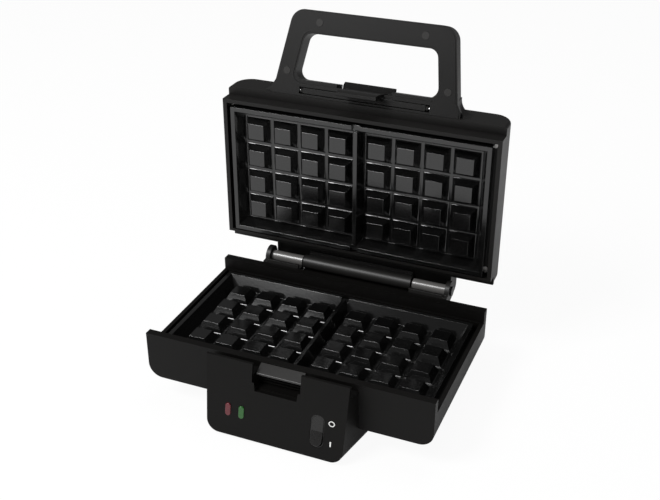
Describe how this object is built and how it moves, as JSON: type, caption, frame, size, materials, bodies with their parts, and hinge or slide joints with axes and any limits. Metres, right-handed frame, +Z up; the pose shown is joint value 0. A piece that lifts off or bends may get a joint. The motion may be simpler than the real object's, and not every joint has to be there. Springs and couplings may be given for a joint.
{
  "type": "belgian waffle maker",
  "caption": "Countertop waffle maker for two square waffles, hinged lid with loop handle and thumb latch, front controls.",
  "frame": {"origin": "on the table, under the middle of the overall box in the pictured pose with the lid upright", "axes": "+X to the right as the user faces the controls, +Y from the controls back to the hinge, +Z up"},
  "size_m": [0.25, 0.2269, 0.2927],
  "materials": {
    "housing_black": "fine matte texture",
    "lid_black": "fine matte texture",
    "handle_black": "satin",
    "nonstick": "black non-stick coating, glossy",
    "bright_pin": "bright",
    "zinc_screw": "zinc plated",
    "element_steel": "heat darkened",
    "tray_sheet": "mill finish",
    "foot_rubber": "matte",
    "red_lens": "clear moulded, unlit",
    "green_lens": "clear moulded, unlit",
    "rocker_black": "satin",
    "mark_white": "printed",
    "lamp_glass": "clear",
    "inner_plastic": "moulded",
    "thermostat_ceramic": "ceramic and tinned can",
    "tab_brass": "plain",
    "catch_grey": "satin",
    "spring_steel": "spring wire"
  },
  "bodies": {
    "base": {"base_shell": "housing_black", "control_housing": "housing_black", "bottom_cover": "housing_black", "rubber_feet": "foot_rubber", "cover_screws": "zinc_screw", "lower_plate": "nonstick", "lower_element": "element_steel", "lower_clamps": "element_steel", "lower_tray": "tray_sheet", "lower_tray_screws": "zinc_screw", "thermostat": "thermostat_ceramic", "base_fuse": "thermostat_ceramic", "red_lens": "red_lens", "green_lens": "green_lens", "lamp_holder": "inner_plastic", "signal_lamps": "lamp_glass", "switch_body": "rocker_black", "switch_tabs": "tab_brass", "mark_off": "mark_white", "mark_on": "mark_white", "latch_catch": "catch_grey", "left_hinge_bracket": "housing_black", "right_hinge_bracket": "housing_black", "bracket_screws": "zinc_screw", "hinge_pin": "bright_pin", "hinge_pin_caps": "bright_pin", "cord_inlet": "inner_plastic", "terminal_block": "inner_plastic"},
    "lid": {"lid_shell": "lid_black", "lid_rim": "lid_black", "lid_rim_screws": "zinc_screw", "upper_plate": "nonstick", "upper_element": "element_steel", "upper_clamps": "element_steel", "upper_tray": "tray_sheet", "upper_tray_screws": "zinc_screw", "lid_fuse": "thermostat_ceramic", "handle_body": "handle_black", "handle_cover": "handle_black", "handle_plugs": "handle_black", "handle_screws": "zinc_screw", "handle_bolts": "zinc_screw", "hinge_arm": "housing_black", "hinge_arm_screws": "zinc_screw", "latch_pin": "bright_pin", "latch_spring": "spring_steel"},
    "latch": {"latch": "handle_black"},
    "rocker": {"rocker": "rocker_black"}
  },
  "joints": [
    {"name": "lid_hinge", "type": "hinge", "parent": "base", "child": "lid", "pos_m": [0, 0.07199, 0.064], "axis": [1, 0, 0], "range_deg": [0, 90]},
    {"name": "latch_pivot", "type": "hinge", "parent": "lid", "child": "latch", "pos_m": [0, 0.08035, 0.22772], "axis": [-1, 0, 0], "range_deg": [0, 5.5], "stiffness_Nm_per_rad": 0.06, "springref_deg": -20.05},
    {"name": "rocker_tilt", "type": "hinge", "parent": "base", "child": "rocker", "pos_m": [0.0368, -0.10536, 0.02576], "axis": [1, 0, 0], "range_deg": [0, 18]}
  ]
}
